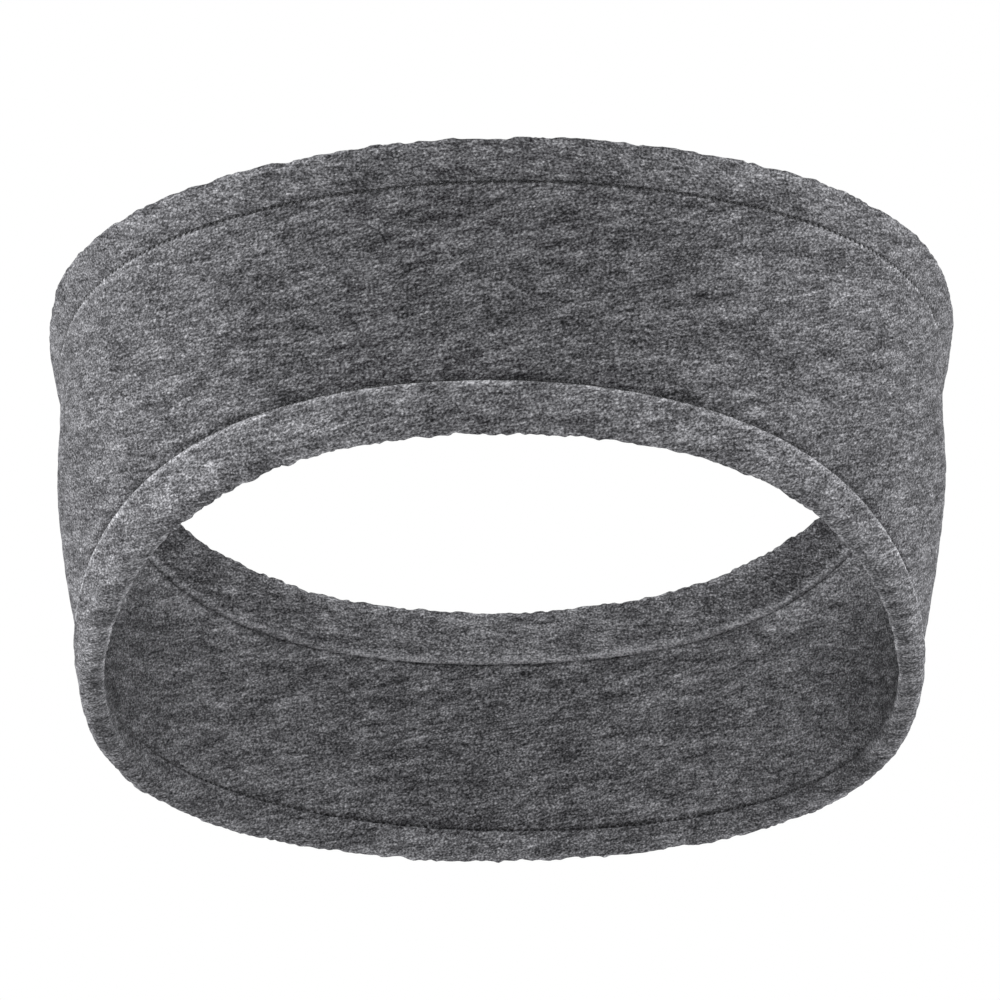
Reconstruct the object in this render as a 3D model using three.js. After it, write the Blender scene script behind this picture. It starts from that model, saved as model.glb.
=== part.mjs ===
import * as THREE from 'three';

// Fleece headband in the form it takes on a head. Millimetres, +Z up to the crown, -Y to the forehead,
// +X to the right in a view from the front. The origin is the centre of the hollow for the head.
// A strip of fleece goes all the way round, and a narrower folded strip wraps each of its two edges.

// Driving dimensions
const WIDTH = 165; // ear to ear over the outer faces, at mid height
const DEPTH = 200; // forehead to nape over the outer faces, at mid height
const FRONT_HEIGHT = 54.5; // from the lower to the upper folded edge, at the forehead
const RIGHT_HEIGHT = 71; // the same over the ear at +X
const BACK_HEIGHT = 55; // the same at the nape
const LEFT_HEIGHT = 69.5; // the same over the ear at -X
const HEM_HEIGHT = 9.2; // from a folded edge to its row of stitches
const UPPER_DIP = 2.1; // how far the upper edge dips at the four corners between the sides
const LOWER_RISE = 1.2; // how far the lower edge rises there
const HEM_NARROWING = 0.3; // how much narrower each hem is there
const WALL = 2.2; // thickness of the fleece strip
const HEM_PROUD = 1.2; // how far a hem stands out from each face of the strip
const SEAM_GAP = 0.3; // clearance between the strip and the hems that wrap it
const FLAP_LAP = 1; // how far a hem's inner layer reaches past the stitches
const EDGE_ROUND = 0.5; // bevel on the cut edges of a hem
const SHOULDER = 0.9; // height over which the strip is pressed thin at a seam

// Share
const PRESSED = 0.5; // share of its thickness that the strip keeps inside a hem

// Faceting
const AZIMUTH_STEPS = 64;
const FOLD_STEPS = 8;
const FACE_STEPS = 8;

const FLEECE = { color: 0x626265, roughness: 0.96, metalness: 0 };
const HEM_FLEECE = { color: 0x66666a, roughness: 0.96, metalness: 0 };

// Plan ovals of the wall's middle, from the lower to the upper folded edge: level runs from -1 to 1
// over the local height, and halfWidth and halfDepth are shares of the oval at mid height. squareness
// is how far the oval bulges at its four corners, and egg by how many mm the front two are the wider.
const ROWS = [
  { level: -1.0, halfWidth: 0.924, halfDepth: 1.0, squareness: 0.019, egg: -2.0 },
  { level: -0.5, halfWidth: 0.966, halfDepth: 0.998, squareness: 0.02, egg: -0.6 },
  { level: 0.0, halfWidth: 1.0, halfDepth: 1.0, squareness: 0.028, egg: 0.0 },
  { level: 0.5, halfWidth: 0.999, halfDepth: 1.014, squareness: 0.026, egg: 0.5 },
  { level: 1.0, halfWidth: 1.013, halfDepth: 1.037, squareness: 0.013, egg: 1.8 },
];

// Edges at the four sides, in steps of a quarter turn from the forehead: above is the share of the
// height that lies over the origin, and the hems are shares of HEM_HEIGHT.
const SIDES = [
  { side: 'front', height: FRONT_HEIGHT, above: 0.48, upperHem: 0.86, lowerHem: 0.99 },
  { side: 'right', height: RIGHT_HEIGHT, above: 0.513, upperHem: 1.24, lowerHem: 0.55 },
  { side: 'back', height: BACK_HEIGHT, above: 0.456, upperHem: 1.25, lowerHem: 0.5 },
  { side: 'left', height: LEFT_HEIGHT, above: 0.487, upperHem: 1.22, lowerHem: 0.95 },
];

const SLOT = (WALL * PRESSED) / 2 + SEAM_GAP; // half the slot that the pressed edge lies in
const HALF_HEM = WALL / 2 + HEM_PROUD; // half the thickness of a hem, and the radius of its fold
const LAYER = HALF_HEM - SLOT; // thickness of one layer of a hem

// A smooth wave round the band that passes through one value at each of the four sides, and leaves
// the line between them by cornerShift at the corners.
function around(values, phi, cornerShift = 0) {
  const [front, right, back, left] = values;
  const mean = (front + right + back + left) / 4;
  const foreAft = ((front - back) / 2) * Math.cos(phi);
  const across = ((right - left) / 2) * Math.sin(phi);
  const saddle = ((front - right + back - left) / 4) * Math.cos(2 * phi);
  const corners = (cornerShift * (1 - Math.cos(4 * phi))) / 2;
  return mean + foreAft + across + saddle + corners;
}

// The heights of the folded edges and of the rows of stitches at one azimuth.
function edgesAt(phi) {
  const top = around(SIDES.map((s) => s.height * s.above), phi, -UPPER_DIP);
  const bottom = around(SIDES.map((s) => s.height * (s.above - 1)), phi, LOWER_RISE);
  const upperHem = around(SIDES.map((s) => HEM_HEIGHT * s.upperHem), phi, -HEM_NARROWING);
  const lowerHem = around(SIDES.map((s) => HEM_HEIGHT * s.lowerHem), phi, -HEM_NARROWING);
  return { top, bottom, upperSeam: top - upperHem, lowerSeam: bottom + lowerHem };
}

// One column of ROWS at a level, on a Catmull-Rom spline whose ends run straight on.
function rowValue(column, level) {
  const values = ROWS.map((row) => row[column]);
  const last = values.length - 1;
  const before = 2 * values[0] - values[1];
  const after = 2 * values[last] - values[last - 1];
  const padded = [before, ...values, after];
  const along = ((THREE.MathUtils.clamp(level, -1, 1) + 1) / 2) * last;
  const span = Math.min(Math.floor(along), last - 1);
  const t = along - span;
  const [p0, p1, p2, p3] = padded.slice(span, span + 4);
  const linear = p2 - p0;
  const square = 2 * p0 - 5 * p1 + 4 * p2 - p3;
  const cubic = 3 * p1 - p0 - 3 * p2 + p3;
  return (2 * p1 + linear * t + square * t ** 2 + cubic * t ** 3) / 2;
}

// A point of the wall: offset is its distance outwards from the middle of the wall, along the
// normal of the plan oval, and z its height.
function wallPoint(phi, offset, z) {
  const { top, bottom } = edgesAt(phi);
  const level = (2 * z - top - bottom) / (top - bottom);
  const a = ((WIDTH - WALL) / 2) * rowValue('halfWidth', level);
  const b = ((DEPTH - WALL) / 2) * rowValue('halfDepth', level);
  const q = rowValue('squareness', level);
  const egg = rowValue('egg', level);
  const ovalX = (a * (Math.sin(phi) + q * Math.sin(3 * phi))) / (1 - q);
  const ovalAlongX = (a * (Math.cos(phi) + 3 * q * Math.cos(3 * phi))) / (1 - q);
  const x = ovalX + egg * Math.sin(2 * phi);
  const y = (-b * (Math.cos(phi) - q * Math.cos(3 * phi))) / (1 - q);
  const alongX = ovalAlongX + 2 * egg * Math.cos(2 * phi);
  const alongY = (b * (Math.sin(phi) - 3 * q * Math.sin(3 * phi))) / (1 - q);
  const normal = new THREE.Vector2(alongY, -alongX).normalize().multiplyScalar(offset);
  return new THREE.Vector3(x + normal.x, y + normal.y, z);
}

// Section of the strip at one azimuth, as [offset, z] pairs that run up its outer face and down its
// inner one. At both ends it is pressed thin and reaches into the hem nearly to the fold.
function stripSection(phi) {
  const { top, bottom, upperSeam, lowerSeam } = edgesAt(phi);
  const face = WALL / 2;
  const pressed = face * PRESSED;
  const low = lowerSeam + SEAM_GAP;
  const high = upperSeam - SEAM_GAP;
  const outer = [[pressed, bottom + LAYER + SEAM_GAP], [pressed, low]];
  for (let step = 0; step <= FACE_STEPS; step += 1) {
    outer.push([face, THREE.MathUtils.lerp(low + SHOULDER, high - SHOULDER, step / FACE_STEPS)]);
  }
  outer.push([pressed, high], [pressed, top - LAYER - SEAM_GAP]);
  const inner = outer.map(([offset, z]) => [-offset, z]).reverse();
  return [...outer, ...inner];
}

// Section of a hem at one azimuth: a strip folded over the edge, with a slot for the pressed fleece.
// up is 1 for the hem whose fold points up and -1 for the other. The inner layer is the longer one.
function hemSection(fold, seam, up) {
  const section = [[SLOT, seam], [HALF_HEM - EDGE_ROUND, seam], [HALF_HEM, seam + up * EDGE_ROUND]];
  for (let step = 0; step <= FOLD_STEPS; step += 1) {
    const turn = (Math.PI * step) / FOLD_STEPS;
    section.push([HALF_HEM * Math.cos(turn), fold - up * HALF_HEM * (1 - Math.sin(turn))]);
  }
  const flapEnd = seam - up * FLAP_LAP;
  const flapFace = -WALL / 2 - SEAM_GAP;
  section.push([-HALF_HEM, flapEnd + up * EDGE_ROUND], [-HALF_HEM + EDGE_ROUND, flapEnd]);
  section.push([flapFace, flapEnd], [flapFace, seam], [-SLOT, seam]);
  section.push([-SLOT, fold - up * LAYER], [SLOT, fold - up * LAYER]);
  return up > 0 ? section : section.reverse();
}

// A closed ring: the same section at every azimuth, with its faces pointing out.
function ringMesh(name, finish, sectionAt) {
  const positions = [];
  const index = [];
  let count = 0;
  for (let step = 0; step < AZIMUTH_STEPS; step += 1) {
    const phi = (2 * Math.PI * step) / AZIMUTH_STEPS;
    const section = sectionAt(phi);
    count = section.length;
    section.forEach(([offset, z]) => positions.push(...wallPoint(phi, offset, z).toArray()));
  }
  for (let step = 0; step < AZIMUTH_STEPS; step += 1) {
    const here = step * count;
    const next = ((step + 1) % AZIMUTH_STEPS) * count;
    for (let point = 0; point < count; point += 1) {
      const after = (point + 1) % count;
      index.push(here + point, next + point, next + after);
      index.push(here + point, next + after, here + after);
    }
  }
  const geometry = new THREE.BufferGeometry();
  geometry.setAttribute('position', new THREE.Float32BufferAttribute(positions, 3));
  geometry.setIndex(index);
  geometry.computeVertexNormals();
  const mesh = new THREE.Mesh(geometry, new THREE.MeshStandardMaterial(finish));
  mesh.name = name;
  return mesh;
}

function upperHemSection(phi) {
  const { top, upperSeam } = edgesAt(phi);
  return hemSection(top, upperSeam, 1);
}

function lowerHemSection(phi) {
  const { bottom, lowerSeam } = edgesAt(phi);
  return hemSection(bottom, lowerSeam, -1);
}

const headband = new THREE.Group();
headband.add(ringMesh('band', FLEECE, stripSection));
headband.add(ringMesh('upper_hem', HEM_FLEECE, upperHemSection));
headband.add(ringMesh('lower_hem', HEM_FLEECE, lowerHemSection));

export default headband;
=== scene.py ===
# %% [markdown]
# A fleece headband, as it sits on a head
# The real thing is one strip of charcoal heather fleece, closed into a ring, with a narrow folded
# strip wrapped round each edge and stitched down. The frame already holds its three solids at their
# real size. Here each of them is made again as a fine surface, with the tucks, knobbly folds, pile,
# streaks and stitches that a close view shows. Everything is in metres, -Y is the forehead.

# %% Load the frame
import math
from collections import namedtuple

import bpy
import numpy as np
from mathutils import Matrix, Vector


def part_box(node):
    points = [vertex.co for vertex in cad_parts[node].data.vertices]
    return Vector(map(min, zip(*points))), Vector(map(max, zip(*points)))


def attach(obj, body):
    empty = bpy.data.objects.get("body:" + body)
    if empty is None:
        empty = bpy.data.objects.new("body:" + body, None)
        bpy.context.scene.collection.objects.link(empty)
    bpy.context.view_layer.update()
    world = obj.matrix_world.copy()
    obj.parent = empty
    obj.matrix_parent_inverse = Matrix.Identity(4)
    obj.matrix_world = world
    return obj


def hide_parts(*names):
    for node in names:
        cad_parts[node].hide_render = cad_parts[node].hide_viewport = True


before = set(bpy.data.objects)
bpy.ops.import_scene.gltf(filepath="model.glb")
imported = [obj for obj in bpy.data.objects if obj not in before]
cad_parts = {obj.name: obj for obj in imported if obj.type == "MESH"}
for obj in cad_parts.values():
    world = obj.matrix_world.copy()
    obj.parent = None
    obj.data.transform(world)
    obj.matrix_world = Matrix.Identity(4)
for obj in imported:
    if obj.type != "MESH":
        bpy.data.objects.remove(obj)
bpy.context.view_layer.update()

# %% [markdown]
# The camera
# The band is seen from the front and from below, through a long lens, so near and far edges are
# almost parallel. One could copy these numbers from a guess and nudge them, but here they come from
# fitting the oval edges, so the camera is placed first and nothing is bent to suit it. Its view_line
# rises from the camera through the middle of the hollow.

# %% Camera
MM = 0.001
PHOTO_PX = 1000
CAMERA_BELOW = math.radians(24.31)
CAMERA_DISTANCE = 1.199
FOCAL_PX = 6414
ORIGIN_BELOW_CENTRE_PX = 18.87
ORIGIN_RIGHT_OF_CENTRE_PX = 1.35
SENSOR = 36

view_line = np.array([0, math.cos(CAMERA_BELOW), math.sin(CAMERA_BELOW)])
view_up = np.array([0, -math.sin(CAMERA_BELOW), math.cos(CAMERA_BELOW)])
view_left = np.array([-1, 0, 0])
eye = -CAMERA_DISTANCE * view_line
aim_px = view_up * ORIGIN_BELOW_CENTRE_PX + view_left * ORIGIN_RIGHT_OF_CENTRE_PX
aim = aim_px * CAMERA_DISTANCE / FOCAL_PX

camera = bpy.data.objects.new("camera", bpy.data.cameras.new("camera"))
bpy.context.collection.objects.link(camera)
camera.data.sensor_width = SENSOR
camera.data.lens = SENSOR * FOCAL_PX / PHOTO_PX
camera.location = eye
camera.rotation_euler = Vector(aim - eye).to_track_quat("-Z", "Y").to_euler()
bpy.context.scene.camera = camera
print("camera at", eye.round(4), "lens", round(camera.data.lens, 1), "mm")

# %% [markdown]
# The sizes
# These are the sizes of the solids, so that the fine surfaces fall on them. Two short tables hold
# what changes: the oval's width and depth from the lower to the upper edge, and the height of the
# edges at the four sides. A printed check further down says how far each new piece strays from the
# node that it stands for.

# %% Sizes of the cloth
WIDTH = 165 * MM
DEPTH = 200 * MM
WALL = 2.2 * MM
HEM_HEIGHT = 9.2 * MM
UPPER_DIP = 2.1 * MM
LOWER_RISE = 1.2 * MM
HEM_NARROWING = 0.3 * MM
HEM_PROUD = 1.2 * MM
SEAM_GAP = 0.3 * MM
FLAP_LAP = 1 * MM
PRESSED = 0.5

HALF_WIDTHS = [0.924, 0.966, 1.0, 0.999, 1.013]
HALF_DEPTHS = [1.0, 0.998, 1.0, 1.014, 1.037]
SQUARENESS = [0.019, 0.02, 0.028, 0.026, 0.013]
EGG = np.array([-2.0, -0.6, 0, 0.5, 1.8]) * MM

SIDE_HEIGHTS = np.array([54.5, 71, 55, 69.5]) * MM
SIDE_ABOVE = np.array([0.48, 0.513, 0.456, 0.487])
UPPER_HEMS = np.array([0.86, 1.24, 1.25, 1.22]) * HEM_HEIGHT
LOWER_HEMS = np.array([0.99, 0.55, 0.5, 0.95]) * HEM_HEIGHT

SLOT = WALL * PRESSED / 2 + SEAM_GAP
HALF_HEM = WALL / 2 + HEM_PROUD
LAYER = HALF_HEM - SLOT
print("hem", round(HALF_HEM * 2 / MM, 2), "mm thick, of two layers of", round(LAYER / MM, 2), "mm")

# %% [markdown]
# The wall as a function
# A band could be modelled by lofting curves in the editor, or by pushing a cylinder about. A formula
# is shorter: a point of the wall follows from the angle round the head, the height, and the distance
# in or out from the middle of the cloth. The same function then carries the strip, the hems and the
# stitches, so they cannot drift apart.


# %% The wall
def around(values, phi, corner_shift=0):
    """
    A wave through one value at each side: mean, a fore-aft cosine, a sideways sine and a saddle, the
    cosine of 2 phi. The corners between the sides are shifted by (1 - cos 4 phi) / 2 of corner_shift.
    """
    front, right, back, left = values
    fore_aft = (front - back) / 2 * np.cos(phi)
    sideways = (right - left) / 2 * np.sin(phi)
    saddle = (front - right + back - left) / 4 * np.cos(2 * phi)
    corners = corner_shift * (1 - np.cos(4 * phi)) / 2
    return (front + right + back + left) / 4 + fore_aft + sideways + saddle + corners


def edges_at(phi):
    """Heights of the upper fold, the lower fold, the upper seam and the lower seam."""
    top = around(SIDE_HEIGHTS * SIDE_ABOVE, phi, -UPPER_DIP)
    bottom = around(SIDE_HEIGHTS * (SIDE_ABOVE - 1), phi, LOWER_RISE)
    upper_hem, lower_hem = (around(hems, phi, -HEM_NARROWING) for hems in (UPPER_HEMS, LOWER_HEMS))
    return top, bottom, top - upper_hem, bottom + lower_hem


def row_value(values, level):
    """Catmull-Rom spline through evenly spaced values, for level -1 to 1, its ends running straight on."""
    first, last = 2 * values[0] - values[1], 2 * values[-1] - values[-2]
    padded = np.array([first, *values, last])
    along = (np.clip(level, -1, 1) + 1) / 2 * (len(values) - 1)
    span = np.minimum(along.astype(int), len(values) - 2)
    t = along - span
    p0, p1, p2, p3 = (padded[span + k] for k in range(4))
    square = (2 * p0 - 5 * p1 + 4 * p2 - p3) * t**2
    cubic = (3 * p1 - p0 - 3 * p2 + p3) * t**3
    return (2 * p1 + (p2 - p0) * t + square + cubic) / 2


def wall_point(phi, offset, z):
    """
    x = a (sin phi + q sin 3 phi) / (1 - q) + e sin 2 phi and y = -b (cos phi - q cos 3 phi) / (1 - q),
    pushed out by offset along the oval's normal. a, b, q and e follow the height between the folds.
    """
    top, bottom, _, _ = edges_at(phi)
    level = (2 * z - top - bottom) / (top - bottom)
    a = (WIDTH - WALL) / 2 * row_value(HALF_WIDTHS, level)
    b = (DEPTH - WALL) / 2 * row_value(HALF_DEPTHS, level)
    q = row_value(SQUARENESS, level)
    egg = row_value(EGG, level)
    x = a * (np.sin(phi) + q * np.sin(3 * phi)) / (1 - q) + egg * np.sin(2 * phi)
    y = -b * (np.cos(phi) - q * np.cos(3 * phi)) / (1 - q)
    along_x = a * (np.cos(phi) + 3 * q * np.cos(3 * phi)) / (1 - q) + 2 * egg * np.cos(2 * phi)
    along_y = b * (np.sin(phi) - 3 * q * np.sin(3 * phi)) / (1 - q)
    length = np.hypot(along_x, along_y)
    return np.stack([x + offset * along_y / length, y - offset * along_x / length, z], axis=-1)


quarter = np.radians([0, 90, 180, 270])
print("upper fold at the four sides, mm:", (edges_at(quarter)[0] / MM).round(1))

# %% [markdown]
# Relief of the pile
# Brushed fleece is never smooth: its surface is a field of small tufts, and where it is folded the
# tufts stand against the light as knobs. A displacement modifier with a noise texture would do, but
# its pattern runs through space and not along the cloth. Here a lattice of random values is laid on
# the cloth, round and across, and read between its crossings, so it closes on itself behind.


# %% Lattice noise
def lattice(phi, across, cell, rng):
    """
    Random values from -1 to 1 at the crossings of a lattice of square cells on the cloth, blended
    between four crossings by the smooth step 3 t t - 2 t t t in each direction.
    """
    round_cells = int(math.pi * (WIDTH + DEPTH) / 2 / cell)
    across_cells = int(across.max() / cell) + 2
    values = rng.uniform(-1, 1, (round_cells, across_cells))
    u = phi / (2 * math.pi) * round_cells
    v = across / cell
    i, j = np.floor(u).astype(int), np.floor(v).astype(int)
    s, t = (f * f * (3 - 2 * f) for f in (u - i, v - j))
    here, beside = i % round_cells, (i + 1) % round_cells
    near = values[here, j] * (1 - s) + values[beside, j] * s
    far = values[here, j + 1] * (1 - s) + values[beside, j + 1] * s
    return near * (1 - t) + far * t


# Size of the tufts and their height over the mean surface: fine tufts, clumps and slow waves
TUFTS = [(1.2 * MM, 0.13 * MM), (2.9 * MM, 0.10 * MM), (10 * MM, 0.10 * MM)]
print("relief of up to", round(sum(height for _, height in TUFTS) / MM, 2), "mm")

# %% [markdown]
# Sections
# Each piece is a ring: a closed section carried round the head. The section is a list of short runs,
# each between two points given as offset and height, and every point also says how much of the
# relief it takes. Inside a seam that share is nothing, so neighbouring pieces stay clear.
# Every point also carries a tone, the painted light and shade of the cloth: over 0 paler, under 0
# darker. Along a seam it is a bell over the height, here called a mark, and it goes from one
# strength at forehead and nape to another over the ears.


# %% Section helpers
HIDDEN_ROWS = 2  # of a long stretch that lies inside a seam, where nothing shows


def run(start, end, steps=1, share=(0, 0)):
    """Points on the straight line from start to end, without the end: offset, height, share of relief."""
    t = np.linspace(0, 1, steps, endpoint=False)
    pairs = zip((*start, share[0]), (*end, share[1]))
    return [a + (b - a) * t for a, b in pairs]


def bend(start, corner, end, steps, share=(1, 1)):
    """A quarter turn from start to end: the sine of t along the first leg, 1 - cos t along the second."""
    t = np.linspace(0, math.pi / 2, steps, endpoint=False)
    out = [s + (c - s) * np.sin(t) + (e - c) * (1 - np.cos(t)) for s, c, e in zip(start, corner, end)]
    return [*out, share[0] + (share[1] - share[0]) * t / (math.pi / 2)]


def ring_points(phi, runs, rng):
    """
    Joins the runs into one closed section at each angle, moves every point outwards across the
    section by its share of the relief, and places it on the wall. Returns the places, and the offset
    and height that each had before.
    """
    columns = [np.broadcast_to(part, (len(phi), len(part_run[2]))) for part_run in runs for part in part_run]
    offset, z, share = (np.concatenate(columns[k::3], axis=1) for k in range(3))
    step_out = np.roll(offset, -1, 1) - np.roll(offset, 1, 1)
    step_up = np.roll(z, -1, 1) - np.roll(z, 1, 1)
    step = np.hypot(step_out, step_up)
    moves = [np.diff(values, axis=1, prepend=values[:, :1]) for values in (offset, z)]
    length = np.cumsum(np.hypot(*moves), axis=1)
    relief = sum(height * lattice(phi, length, cell, rng) for cell, height in TUFTS) * share
    places = wall_point(phi, offset + relief * step_up / step, z - relief * step_out / step)
    return places, offset, z


def add_mesh(name, points, faces):
    """A mesh object at the origin from an array of places and a list of faces, riding on the root."""
    mesh = bpy.data.meshes.new(name)
    mesh.from_pydata(points.reshape(-1, 3), [], faces)
    mesh.shade_smooth()
    piece = bpy.data.objects.new(name, mesh)
    bpy.context.collection.objects.link(piece)
    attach(piece, "root")
    return piece


def ring_faces(rounds, across):
    """Four corners of each square of a grid that closes on itself both ways, seen from outside."""
    i, j = np.meshgrid(np.arange(rounds), np.arange(across), indexing="ij")
    next_i, next_j = (i + 1) % rounds, (j + 1) % across
    corners = [i * across + j, next_i * across + j, next_i * across + next_j, i * across + next_j]
    return np.stack(corners, axis=-1).reshape(-1, 4).tolist()


def bell(distance, width):
    """e^(-d d / w w): one at the middle, nearly nothing two widths away."""
    return np.exp(-((distance / width) ** 2))


def set_tone(piece, tone):
    """Painted light (over 0, paler) and painted shade (under 0, darker) at each point, as an attribute."""
    attribute = piece.data.attributes.new("pile_tone", "FLOAT", "POINT")
    attribute.data.foreach_set("value", tone.ravel())


def eased(at_forehead, over_ears, phi):
    """From one value at forehead and nape to another over the ears, by the sine of phi squared."""
    return at_forehead + (over_ears - at_forehead) * np.sin(phi) ** 2


# A painted mark along a seam, light where its strengths are over 0 and shade under 0: its middle over the
# seam, its width, and its two strengths
Mark = namedtuple("Mark", "middle width at_forehead over_ears")


def mark_tone(mark, height, phi):
    """The tone of one mark, at a height over its seam."""
    return eased(mark.at_forehead, mark.over_ears, phi) * bell(height - mark.middle, mark.width)


def right_ear(phi):
    """1 over the ear at +X, falling off fast both ways: the sine, where it is positive, to the fourth."""
    return np.clip(np.sin(phi), 0, 1) ** 4


def report(piece, node):
    """Prints the piece's triangles and how far its box departs from the box of the node it stands for."""
    places = np.array([v.co for v in piece.data.vertices])
    low, high = (np.array(corner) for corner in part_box(node))
    apart = np.concatenate([places.min(0) - low, places.max(0) - high]) / MM
    print(piece.name, len(piece.data.polygons) * 2, "triangles, box apart by mm:", apart.round(2))


# %% [markdown]
# The strip
# Between the two seams the real strip is a plain wall of fleece. The stitches pull its face in along
# each seam, which is what draws the thin dark line there, so its faces end in a quarter turn instead
# of a sharp step. A cloth simulation would find much the same form with far more trouble, because
# the head underneath already decides every curve.

# %% Strip
STRIP_ROUND = 700
STRIP_ROWS = 54
TUCK_ROWS = 5
STRIP_TUCK = 0.14 * MM
STRIP_TUCK_HEIGHT = 1.3 * MM
CREASE = 0.04 * MM
STRIP_SEED = 11

# Painted light and shade on the strip: a painted highlight under the upper seam, painted shade over the
# lower seam, painted light over the flap's shadow under the upper cut edge, painted shade over the lower cut
# edge, painted light at the inner corners and painted shade inside over the right ear
HIGHLIGHT_UNDER_UPPER_SEAM = Mark(-0.6 * MM, 0.6 * MM, 0.5, 0.9)
SHADE_OVER_LOWER_SEAM = Mark(0.7 * MM, 1.1 * MM, -0.8, -0.8)
LIGHT_UNDER_UPPER_CUT = Mark(-FLAP_LAP - 1.2 * MM, 1 * MM, 0.25, 0.25)
SHADE_OVER_LOWER_CUT = Mark(FLAP_LAP + 0.5 * MM, 0.6 * MM, -0.9, -0.9)
INNER_CORNER_LIGHT = 0.45
INNER_RIGHT_EAR_SHADE = -0.55


def strip_side(phi, side, rising):
    """Runs up or down one face of the strip, with a tuck at each seam and a pressed tongue beyond it."""
    top, bottom, upper_seam, lower_seam = edges_at(phi)
    tuck = eased(STRIP_TUCK, 0, phi)
    face, tucked, thin = (side * v for v in (WALL / 2, WALL / 2 - tuck, WALL / 2 * PRESSED))
    low, high = lower_seam + CREASE, upper_seam - eased(CREASE, 0, phi)
    tongue_low, tongue_high = bottom + LAYER + SEAM_GAP, top - LAYER - SEAM_GAP
    if not rising:
        low, high, tongue_low, tongue_high = high, low, tongue_high, tongue_low
    up = 1 if rising else -1
    start, end = low + up * STRIP_TUCK_HEIGHT, high - up * STRIP_TUCK_HEIGHT
    return [
        run((thin, tongue_low), (thin, low), HIDDEN_ROWS),
        run((thin, low), (tucked, low)),
        bend((tucked, low), (face, low), (face, start), TUCK_ROWS, share=(0, 1)),
        run((face, start), (face, end), STRIP_ROWS, share=(1, 1)),
        bend((face, end), (face, high), (tucked, high), TUCK_ROWS, share=(1, 0)),
        run((tucked, high), (thin, high)),
        run((thin, high), (thin, tongue_high), HIDDEN_ROWS),
        run((thin, tongue_high), (-thin, tongue_high)),
    ]


def strip_tone(phi, offset, z):
    """
    Painted light and shade. Outside, a painted highlight just under the upper seam and painted shade over
    the lower one. Inside, painted light a little under the upper cut edge, where the flap's shadow falls,
    painted shade over the lower one and over the ear at +X, and painted light at the four corners between
    the sides, by the squared sine of 2 phi.
    """
    _, _, upper_seam, lower_seam = edges_at(phi)
    over_upper, over_lower = z - upper_seam, z - lower_seam
    outside = mark_tone(HIGHLIGHT_UNDER_UPPER_SEAM, over_upper, phi) + mark_tone(SHADE_OVER_LOWER_SEAM, over_lower, phi)
    by_cuts = mark_tone(LIGHT_UNDER_UPPER_CUT, over_upper, phi) + mark_tone(SHADE_OVER_LOWER_CUT, over_lower, phi)
    sides = INNER_CORNER_LIGHT * np.sin(2 * phi) ** 2 + INNER_RIGHT_EAR_SHADE * right_ear(phi)
    return np.where(offset > 0, outside, by_cuts + sides)


phi = np.linspace(0, 2 * math.pi, STRIP_ROUND, endpoint=False)[:, None]
runs = strip_side(phi, 1, True) + strip_side(phi, -1, False)
places, offset, z = ring_points(phi, runs, np.random.default_rng(STRIP_SEED))
band = add_mesh("fleece_strip", places, ring_faces(*places.shape[:2]))
set_tone(band, strip_tone(phi, offset, z))
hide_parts("band")
report(band, "band")

# %% [markdown]
# The hems
# A hem is a narrow strip folded round the edge: an outer layer that ends in the seam, a round fold,
# and an inner layer whose cut edge reaches a little past the stitches and stands proud of the wall.
# One function makes both, with up turned over for the lower one. The fold takes most of the relief,
# because there the pile opens like the bristles of a bent brush.

# %% Hems
HEM_ROUND = 1040
FACE_ROWS = 11
FOLD_ROWS = 14
INNER_ROWS = 13
CUT_ROWS = 6
CUT_ROUND = 1.8 * MM
CUT_GAP = 0.06 * MM
UPPER_TUCK = 1.1 * MM
UPPER_TUCK_HEIGHT = 2.3 * MM
UPPER_TUCK_HEIGHT_AT_EARS = 7.13 * MM
UPPER_CORNER_EASE = 0.7
LOWER_TUCK = 0.75 * MM
LOWER_TUCK_HEIGHT = 1.6 * MM
TUCK_PART = 0.8  # of the flat part of a narrow hem, where it leaves less room than that
FOLD_SHARE = 2.1
UPPER_SEED = 23
LOWER_SEED = 37

# Painted shade over the upper seam, painted highlights at the upper hem's inner cut edge and at the lower
# hem's outer edge, and painted shade inside the upper hem over the right ear
SHADE_OVER_UPPER_SEAM = Mark(1.3 * MM, 0.91 * MM, -0.35, -0.15)
HIGHLIGHT_AT_UPPER_CUT = Mark(0.39 * MM - FLAP_LAP, 0.78 * MM, 1.5, 2.2)
HIGHLIGHT_AT_LOWER_EDGE = Mark(-0.65 * MM, 0.65 * MM, 0.6, 1.4)
UPPER_RIGHT_EAR_SHADE = -0.5

# Pairs of tones, at forehead and nape and over the ears, all painted light and shade: hems painted
# paler at forehead and nape, painted shade on the upper inner layer over the ears and on the lower
# inner layer at the forehead
HEM_TONES = (0.42, 0)
UPPER_INNER_TONES = (0.2, -1.3)
LOWER_INNER_TONES = (-0.126, 0)
# RIM_HIGHLIGHTS: strengths of the painted highlight on the lower fold's inner rim
RIM_HIGHLIGHTS = (0, 1.7)

# The painted highlight on the inner rim of the lower fold: where it lies, in radii of the fold, and how it
# fades out
RIM_TRAVEL = 0.94
RIM_RISE = 0.35
RIM_SPREAD = 0.6
RIM_WIDTH = 0.2
RIM_FADE = 0.45


def half_turn(fold, up, steps, share):
    """The fold: offset = R cos a, height = fold - up R (1 - sin a), for a from 0 to a half turn."""
    a = np.linspace(0, math.pi, steps, endpoint=False)
    swell = 1 + (share - 1) * np.sin(a)
    return [HALF_HEM * np.cos(a), fold - up * HALF_HEM * (1 - np.sin(a)), swell]


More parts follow.
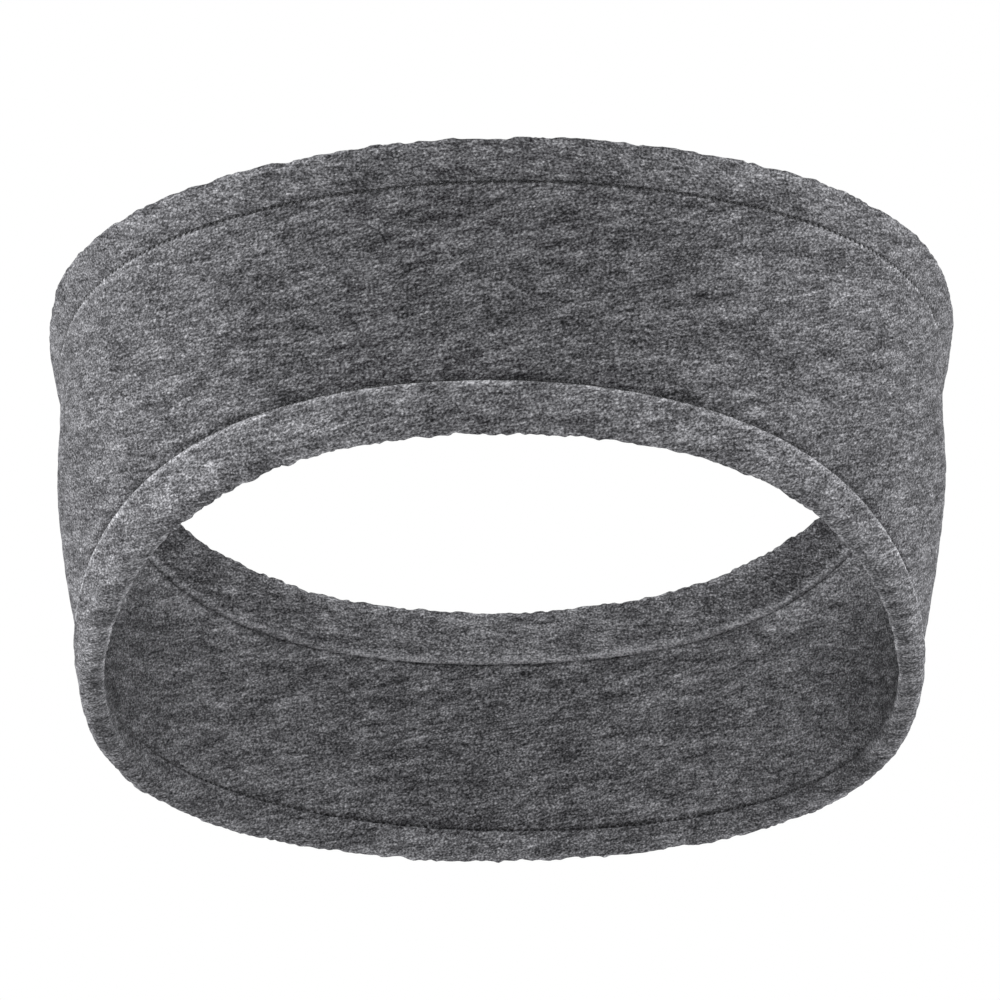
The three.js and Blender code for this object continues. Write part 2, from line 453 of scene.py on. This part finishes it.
def hem_runs(phi, fold, seam, up):
    """The runs of a hem's section, from the slot out to the seam, over the fold and down to the cut edge."""
    flap_end = seam - up * FLAP_LAP
    flap_face = -WALL / 2 - CUT_GAP
    if up > 0:
        tuck = eased(UPPER_TUCK, HEM_PROUD, phi)
        longest = eased(UPPER_TUCK_HEIGHT, UPPER_TUCK_HEIGHT_AT_EARS, phi)
        corner = HALF_HEM - eased(0, UPPER_CORNER_EASE, phi) * tuck
    else:
        tuck = LOWER_TUCK
        longest = LOWER_TUCK_HEIGHT
        corner = HALF_HEM
    tucked = HALF_HEM - tuck
    tuck_height = np.minimum(longest, TUCK_PART * (up * (fold - seam) - HALF_HEM))
    tuck_end = (HALF_HEM, seam + up * tuck_height)
    fold_start, fold_end = (HALF_HEM, fold - up * HALF_HEM), (-HALF_HEM, fold - up * HALF_HEM)
    cut_start, cut_end = (-HALF_HEM, flap_end + up * CUT_ROUND), (flap_face - CUT_GAP, flap_end)
    return [
        run((SLOT, seam), (tucked, seam), HIDDEN_ROWS),
        bend((tucked, seam), (corner, seam), tuck_end, TUCK_ROWS, share=(0, 1)),
        run(tuck_end, fold_start, FACE_ROWS, share=(1, 1)),
        half_turn(fold, up, FOLD_ROWS, FOLD_SHARE),
        run(fold_end, cut_start, INNER_ROWS, share=(1, 1)),
        bend(cut_start, (-HALF_HEM, flap_end), cut_end, CUT_ROWS, share=(1, 0.5)),
        run(cut_end, (flap_face, flap_end)),
        run((flap_face, flap_end), (flap_face, seam)),
        run((flap_face, seam), (-SLOT, seam)),
        run((-SLOT, seam), (-SLOT, fold - up * LAYER), HIDDEN_ROWS),
        run((-SLOT, fold - up * LAYER), (SLOT, fold - up * LAYER)),
        run((SLOT, fold - up * LAYER), (SLOT, seam), HIDDEN_ROWS),
    ]


def fold_rim(phi, offset, z, fold):
    """
    The mask of the painted highlight on the inner rim of the lower fold, in radii of the fold: a bell
    round an offset that goes from near the fold's bottom at the forehead to its inner face over the
    ears, and fades out behind them.
    """
    forwards = np.cos(phi)
    middle = 1 - RIM_TRAVEL * np.clip(forwards, 0, 1)
    before_nape = np.clip(1 + forwards / RIM_FADE, 0, 1)
    along_fold = bell((z - fold) / HALF_HEM - RIM_RISE, RIM_SPREAD)
    return before_nape * along_fold * bell(offset / HALF_HEM + middle, RIM_WIDTH)


def hem_tone(phi, offset, z, fold, seam, up):
    """
    All painted light and shade. A hem is painted paler at forehead and nape, and the upper one's inner
    layer painted darker over the ears, as shade. A painted shade lies a little over the upper seam, and
    painted highlights at the upper hem's inner cut edge, at the lower hem's outer edge and at its inner
    rim over the ears.
    """
    if up > 0:
        outside = mark_tone(SHADE_OVER_UPPER_SEAM, z - seam, phi)
        at_ears = eased(*UPPER_INNER_TONES, phi) + UPPER_RIGHT_EAR_SHADE * right_ear(phi)
        inside = mark_tone(HIGHLIGHT_AT_UPPER_CUT, z - seam, phi) + at_ears
    else:
        outside = mark_tone(HIGHLIGHT_AT_LOWER_EDGE, z - seam, phi)
        rim_highlight = eased(*RIM_HIGHLIGHTS, phi) * fold_rim(phi, offset, z, fold)
        inside = rim_highlight + eased(*LOWER_INNER_TONES, phi)
    return eased(*HEM_TONES, phi) + np.where(offset > 0, outside, inside)


def hem_piece(name, node, phi, fold, seam, up, seed):
    """One hem, put in place of its node, with the tone of its pile."""
    places, offset, z = ring_points(phi, hem_runs(phi, fold, seam, up), np.random.default_rng(seed))
    faces = ring_faces(*places.shape[:2])
    piece = add_mesh(name, places, faces if up > 0 else [corners[::-1] for corners in faces])
    set_tone(piece, hem_tone(phi, offset, z, fold, seam, up))
    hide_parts(node)
    report(piece, node)
    return piece


hem_phi = np.linspace(0, 2 * math.pi, HEM_ROUND, endpoint=False)[:, None]
top, bottom, upper_seam, lower_seam = edges_at(hem_phi)
upper_edge = {"phi": hem_phi, "fold": top, "seam": upper_seam, "up": 1, "seed": UPPER_SEED}
lower_edge = {"phi": hem_phi, "fold": bottom, "seam": lower_seam, "up": -1, "seed": LOWER_SEED}
upper_hem = hem_piece("fleece_upper_hem", "upper_hem", **upper_edge)
lower_hem = hem_piece("fleece_lower_hem", "lower_hem", **lower_edge)

# %% [markdown]
# The stitches
# Each hem is sewn down by a row of short stitches that sink into the pile, so that from the front
# they show only as a broken dark line. A third row shows inside, along the lower hem's cut edge. A
# curve with a bevel would draw a thread, but the stitches are separate loops, so each is a small seed
# shape: one set of faces, repeated along the seam.

# %% Stitches
STITCH_PITCH = 1.45 * MM
STITCH_LENGTH = 0.62 * MM
THREAD_RADIUS = 0.27 * MM
STITCH_RISE = 0.12 * MM
STITCH_SUNK = 0.4 * MM
STITCH_RINGS = 4
STITCH_SIDES = 6
SEAM_POINTS = 2001


def seed_faces():
    """Faces of one seed: squares between its rings and triangles to the point at each end."""
    ring, side = np.meshgrid(np.arange(STITCH_RINGS - 1), np.arange(STITCH_SIDES), indexing="ij")
    here, beside = ring * STITCH_SIDES + side, ring * STITCH_SIDES + (side + 1) % STITCH_SIDES
    squares = np.stack([here, beside, beside + STITCH_SIDES, here + STITCH_SIDES], axis=-1).reshape(-1, 4)
    first, last = STITCH_RINGS * STITCH_SIDES, STITCH_RINGS * STITCH_SIDES + 1
    sides = np.arange(STITCH_SIDES)
    turned = (sides + 1) % STITCH_SIDES
    end = (STITCH_RINGS - 1) * STITCH_SIDES
    start_fan = np.column_stack([turned, sides, np.full(STITCH_SIDES, first)])
    end_fan = np.column_stack([end + sides, end + turned, np.full(STITCH_SIDES, last)])
    return squares, np.concatenate([start_fan, end_fan])


def stitch_row(name, seam_at, up, side, away):
    """
    Seeds end to end along a seam. With t from 0 to 1 along a seed, its radius is 2 R times the square
    root of t (1 - t), and its middle line rises out of the groove by 4 h t (1 - t). side is 1 for a
    row on the outer face and -1 for one on the inner face, away the distance from the hem's edge.
    """
    fine = np.linspace(0, 2 * math.pi, SEAM_POINTS)
    line = wall_point(fine, side * WALL / 2, seam_at(fine))
    travelled = np.concatenate([[0], np.cumsum(np.linalg.norm(np.diff(line, axis=0), axis=1))])
    count = round(travelled[-1] / STITCH_PITCH)
    starts = np.arange(count)[:, None, None] * travelled[-1] / count
    t = np.linspace(0, 1, STITCH_RINGS + 2)[None, :, None]
    phi = np.interp((starts + t * STITCH_LENGTH) % travelled[-1], travelled, fine)
    turn = np.arange(STITCH_SIDES) * 2 * math.pi / STITCH_SIDES
    radius = 2 * THREAD_RADIUS * np.sqrt(t * (1 - t))
    groove = WALL / 2 - STRIP_TUCK - eased(0, STITCH_SUNK, phi)
    offset = side * (groove + THREAD_RADIUS + STITCH_RISE * 4 * t * (1 - t) + radius * np.cos(turn))
    z = seam_at(phi) - up * away + side * radius * np.sin(turn)
    places = wall_point(np.broadcast_to(phi, z.shape), np.broadcast_to(offset, z.shape), z)
    rings = places[:, 1:-1].reshape(count, -1, 3)
    seeds = np.concatenate([rings, places[:, :1, 0], places[:, -1:, 0]], axis=1)
    shift = (np.arange(count) * seeds.shape[1])[:, None, None]
    squares, fans = ((shift + faces).reshape(-1, faces.shape[1]).tolist() for faces in seed_faces())
    piece = add_mesh(name, seeds, squares + fans)
    print(name, count, "stitches,", len(squares) * 2 + len(fans), "triangles")
    return piece


def upper_seam_at(phi):
    """Height of the upper hem's outer edge."""
    return edges_at(phi)[2]


def lower_seam_at(phi):
    """Height of the lower hem's outer edge."""
    return edges_at(phi)[3]


def lower_cut_at(phi):
    """Height of the lower hem's inner cut edge: the seam's height and the lap."""
    return edges_at(phi)[3] + FLAP_LAP


upper_stitches = stitch_row("upper_stitches", upper_seam_at, up=1, side=1, away=THREAD_RADIUS)
lower_stitches = stitch_row("lower_stitches", lower_seam_at, up=-1, side=1, away=THREAD_RADIUS)
inside_stitches = stitch_row("inside_stitches", lower_cut_at, up=-1, side=-1, away=2 * THREAD_RADIUS)

# %% [markdown]
# Shader helpers
# Node trees are easier to read as sums. A Socket wraps one output of a node, and the usual signs on
# it add Math nodes. Every other node comes from Net.node, which takes the node's kind, its settings
# and what goes into its sockets.


# %% Sockets and nets
class Socket:
    """One output of a node, on which + - and * work, also with a number before it."""

    def __init__(self, net, link):
        self.net = net
        self.link = link

    def math(self, operation, *values):
        """A Math node on the values."""
        return self.net.node("ShaderNodeMath", {"operation": operation}, dict(enumerate(values)))

    def other(self, output):
        """Another output of the same node."""
        return Socket(self.net, self.link.node.outputs[output])

    def __add__(self, value):
        return self.math("ADD", self, value)

    def __sub__(self, value):
        return self.math("SUBTRACT", self, value)

    def __rsub__(self, value):
        return self.math("SUBTRACT", value, self)

    def __mul__(self, value):
        return self.math("MULTIPLY", self, value)

    __radd__ = __add__
    __rmul__ = __mul__


class Net:
    """The node tree of a new material, or of the world."""

    def __init__(self, owner):
        owner.use_nodes = True
        self.owner = owner
        self.tree = owner.node_tree

    def node(self, kind, settings=None, inputs=None, output=0):
        """A new node with its settings, which come first, and with what goes into its sockets."""
        made = self.tree.nodes.new(kind)
        for key, value in (settings or {}).items():
            if key == "stops":
                self.set_stops(made.color_ramp, value)
            else:
                setattr(made, key, value)
        for key, value in (inputs or {}).items():
            self.feed(made.inputs[key], value)
        return Socket(self, made.outputs[output])

    def set_stops(self, ramp, stops):
        """Gives a ramp its stops, each a place along it and a grey."""
        while len(ramp.elements) < len(stops):
            ramp.elements.new(0.5)
        for element, (place, grey) in zip(ramp.elements, stops):
            element.position = place
            element.color = (*grey, 1)

    def feed(self, socket, value):
        """Links a socket to an output, or sets it to a value."""
        if isinstance(value, Socket):
            self.tree.links.new(value.link, socket)
        else:
            socket.default_value = value

    def finish(self, **inputs):
        """Feeds the closing shader, its sockets named with _ for a space, and returns its owner."""
        shader = self.tree.nodes["Principled BSDF"]
        for key, value in inputs.items():
            self.feed(shader.inputs[key.replace("_", " ")], value)
        return self.owner


print("shader helpers ready")

# %% [markdown]
# Heather fleece
# Heather is spun from black, grey and nearly white fibres, so the cloth is a mid grey made of
# specks, drawn out into short streaks along the knit. Brushing lifts a pile, which catches light at
# its tips and keeps dark pits. A photograph of cloth would give this too, but it would tile and blur.
# Noise read in coordinates squeezed across the streaks gives specks of the right length at any
# distance. The streaks lean, because the strip was cut a little askew from the knit. A tone of
# painted light and shade is added on top: painted highlights where the hem is cut or bent hard, and
# painted shade along seams and inside.

# %% Fleece material
PIT = (0.003, 0.003, 0.0034)
DARK = (0.0135, 0.0135, 0.0146)
MID = (0.0545, 0.0545, 0.0580)
PALE = (0.150, 0.150, 0.158)
TIP = (0.340, 0.340, 0.355)
RAMP_STOPS = (0.3, 0.4, 0.5, 0.6, 0.7)
LEAN_Y = 0.455
LEAN_TURN = 7.4
# TONE_SHIFT: how far the painted light and shade of the tone attribute moves the grey
TONE_SHIFT = 0.065
FAINTER_AT_EARS = 18
BUMP_STRENGTH = 0.45
BUMP_DISTANCE = 0.35 * MM
PILE_IN_BUMP = 0.7
STREAK_IN_BUMP = 0.6
MEAN_GRAIN = 0.5

# A layer of noise: its weight in the grey, its cells to a metre, the share of the depth and the
# squeeze of the height that it is read at, and the noise's own detail and roughness
Grain = namedtuple("Grain", "weight per_metre depth squeeze detail roughness")
PILE = Grain(0.49, 2250, 0.5, 1.2, 1, 0.6)
STREAK = Grain(0.33, 330, 0.65, 4.0, 3, 0.65)
CLUMP = Grain(0.18, 110, 0.65, 3.0, 2, 0.5)


def fleece(name, lean_x, brightness):
    """
    Height across the streaks is z - lean_x x - LEAN_Y y - LEAN_TURN x x y. Pile, streak and clump are
    noise in (x, a share of y, squeezed height); their weighted sum picks the grey, and the bump. Over
    the ears the cloth is stretched, so the sum departs less from its mean there, by the contrast
    1 - FAINTER_AT_EARS x x. The tone, painted light and shade, is added to it, so a painted edge keeps its
    grain.
    """
    net = Net(bpy.data.materials.new(name))
    place = net.node("ShaderNodeTexCoord", output="Object")
    x = net.node("ShaderNodeSeparateXYZ", inputs={"Vector": place})
    y, z = x.other("Y"), x.other("Z")
    across = z - x * lean_x - y * LEAN_Y - x * x * y * LEAN_TURN

    def noise(grain):
        squeezed_place = {"X": x, "Y": y * grain.depth, "Z": across * grain.squeeze}
        vector = net.node("ShaderNodeCombineXYZ", inputs=squeezed_place)
        look = {"Scale": grain.per_metre, "Detail": grain.detail, "Roughness": grain.roughness}
        return net.node("ShaderNodeTexNoise", inputs={"Vector": vector, **look})

    pile, streak, clump = noise(PILE), noise(STREAK), noise(CLUMP)
    # The attribute read here is painted light and shade, added to the cloth's grey
    tone = net.node("ShaderNodeAttribute", {"attribute_name": "pile_tone"}, output="Fac")
    contrast = 1 - x * x * FAINTER_AT_EARS
    sum_of_grains = pile * PILE.weight + streak * STREAK.weight + clump * CLUMP.weight
    mix = (sum_of_grains - MEAN_GRAIN) * contrast + MEAN_GRAIN + tone * TONE_SHIFT
    greys = [tuple(c * brightness for c in grey) for grey in (PIT, DARK, MID, PALE, TIP)]
    stops = list(zip(RAMP_STOPS, greys))
    colour = net.node("ShaderNodeValToRGB", {"stops": stops}, {"Fac": mix})
    height = pile * PILE_IN_BUMP + streak * STREAK_IN_BUMP
    relief = {"Strength": BUMP_STRENGTH, "Distance": BUMP_DISTANCE, "Height": height}
    bump = net.node("ShaderNodeBump", inputs=relief)
    return net.finish(Base_Color=colour, Roughness=0.95, Normal=bump, Specular_IOR_Level=0.05)


band.data.materials.append(fleece("heather_strip", lean_x=0.185, brightness=1.0))
upper_hem.data.materials.append(fleece("heather_upper_hem", lean_x=0.03, brightness=1.0))
lower_hem.data.materials.append(fleece("heather_lower_hem", lean_x=0.185, brightness=1.05))
print("fleece:", [m.name for m in bpy.data.materials if m.name.startswith("heather")])

# %% [markdown]
# Thread
# The sewing thread is a darker charcoal than the cloth, spun of two strands. Its stitches are a few
# pixels long, so a fine wave for the twist, in colour and in bump, is all that it needs.

# %% Thread material
TWISTS_PER_METRE = 900
TWIST_DISTORTION = 1.5
TWIST_STRENGTH = 0.4
TWIST_DEPTH = 0.05 * MM
THREAD_DARK = (0.006, 0.006, 0.007, 1)
THREAD_LIGHT = (0.020, 0.020, 0.022, 1)


def thread(name):
    """Bands of a wave, slanted across the thread, mix its dark and its light grey."""
    net = Net(bpy.data.materials.new(name))
    place = net.node("ShaderNodeTexCoord", output="Object")
    settings = {"wave_type": "BANDS", "bands_direction": "DIAGONAL"}
    values = {"Vector": place, "Scale": TWISTS_PER_METRE, "Distortion": TWIST_DISTORTION}
    twist = net.node("ShaderNodeTexWave", settings, values)
    mixed = {"Factor": twist, "A": THREAD_DARK, "B": THREAD_LIGHT}
    colour = net.node("ShaderNodeMix", {"data_type": "RGBA"}, mixed, output="Result")
    relief = {"Strength": TWIST_STRENGTH, "Distance": TWIST_DEPTH, "Height": twist}
    bump = net.node("ShaderNodeBump", inputs=relief)
    return net.finish(Base_Color=colour, Roughness=0.8, Normal=bump)


sewing_thread = thread("sewing_thread")
for row in (upper_stitches, lower_stitches, inside_stitches):
    row.data.materials.append(sewing_thread)
print("thread:", sewing_thread.name)

# %% [markdown]
# Sheets
# The pieces are cloth, and here the flat sizes of their sheets are worked out: the strip's height with
# the pressed edges, a hem's width over its two layers, and the points of the line round the middle of
# the wall. They are measured as the cloth lies on a head, because how far it stretches can't be seen.

middle_line = wall_point(hem_phi[:, 0], 0, hem_phi[:, 0] * 0)
strip_height = float((top - bottom).mean() - 2 * LAYER)
upper_width = float(2 * (top - upper_seam).mean() + FLAP_LAP)
lower_width = float(2 * (lower_seam - bottom).mean() + FLAP_LAP)

# %% [markdown]
# Light and floor
# The light is that of a white studio: one broad light from above the camera, and one from each side
# and a little behind, which brings up the pile where the cloth turns away. Area lamps would do, but
# their light falls off over the far wall; a sun with a wide disc is as soft and even. The white walls
# are a world that looks white and lights weakly, so that the pile keeps its shadows. The band is held
# up as a head holds it, so the pale floor lies far below.

# %% Floor, lights and world
FLOOR_DEPTH = -2.2
FLOOR_SIZE = 120
FLOOR_GREY = (0.86, 0.86, 0.86, 1)
ROOM_LIGHT = 0.68


def soft_sun(name, azimuth, elevation, disc, strength):
    """A sun seen at an angle round from the forehead towards +X and an angle up, as a disc so wide."""
    light = bpy.data.objects.new(name, bpy.data.lights.new(name, "SUN"))
    bpy.context.collection.objects.link(light)
    light.data.angle = math.radians(disc)
    light.data.energy = strength
    around_head, up = math.radians(azimuth), math.radians(elevation)
    level = math.cos(up)
    place = Vector((level * math.sin(around_head), -level * math.cos(around_head), math.sin(up)))
    light.location = place
    light.rotation_euler = (-place).to_track_quat("-Z", "Y").to_euler()


half = FLOOR_SIZE / 2
floor_corners = np.array([[-half, -half], [half, -half], [half, half], [-half, half]])
floor_mesh = bpy.data.meshes.new("floor")
floor_mesh.from_pydata(np.column_stack([floor_corners, np.full(4, FLOOR_DEPTH)]), [], [(0, 1, 2, 3)])
floor = bpy.data.objects.new("floor", floor_mesh)
bpy.context.collection.objects.link(floor)
pale_floor = Net(bpy.data.materials.new("pale_floor"))
floor_mesh.materials.append(pale_floor.finish(Base_Color=FLOOR_GREY, Roughness=0.9))

soft_sun("front_light", azimuth=0, elevation=52, disc=50, strength=2.5)
soft_sun("left_light", azimuth=-101, elevation=4, disc=20, strength=8.0)
soft_sun("right_light", azimuth=102, elevation=4, disc=20, strength=6.6)

room = Net(bpy.data.worlds.new("white_room"))
seen = room.node("ShaderNodeLightPath", output="Is Camera Ray")
background = room.tree.nodes["Background"]
background.inputs["Color"].default_value = (1, 1, 1, 1)
room.feed(background.inputs["Strength"], seen * (1 - ROOM_LIGHT) + ROOM_LIGHT)
bpy.context.scene.world = room.owner
bpy.context.scene.view_settings.view_transform = "Standard"
print("three lights and a white room")
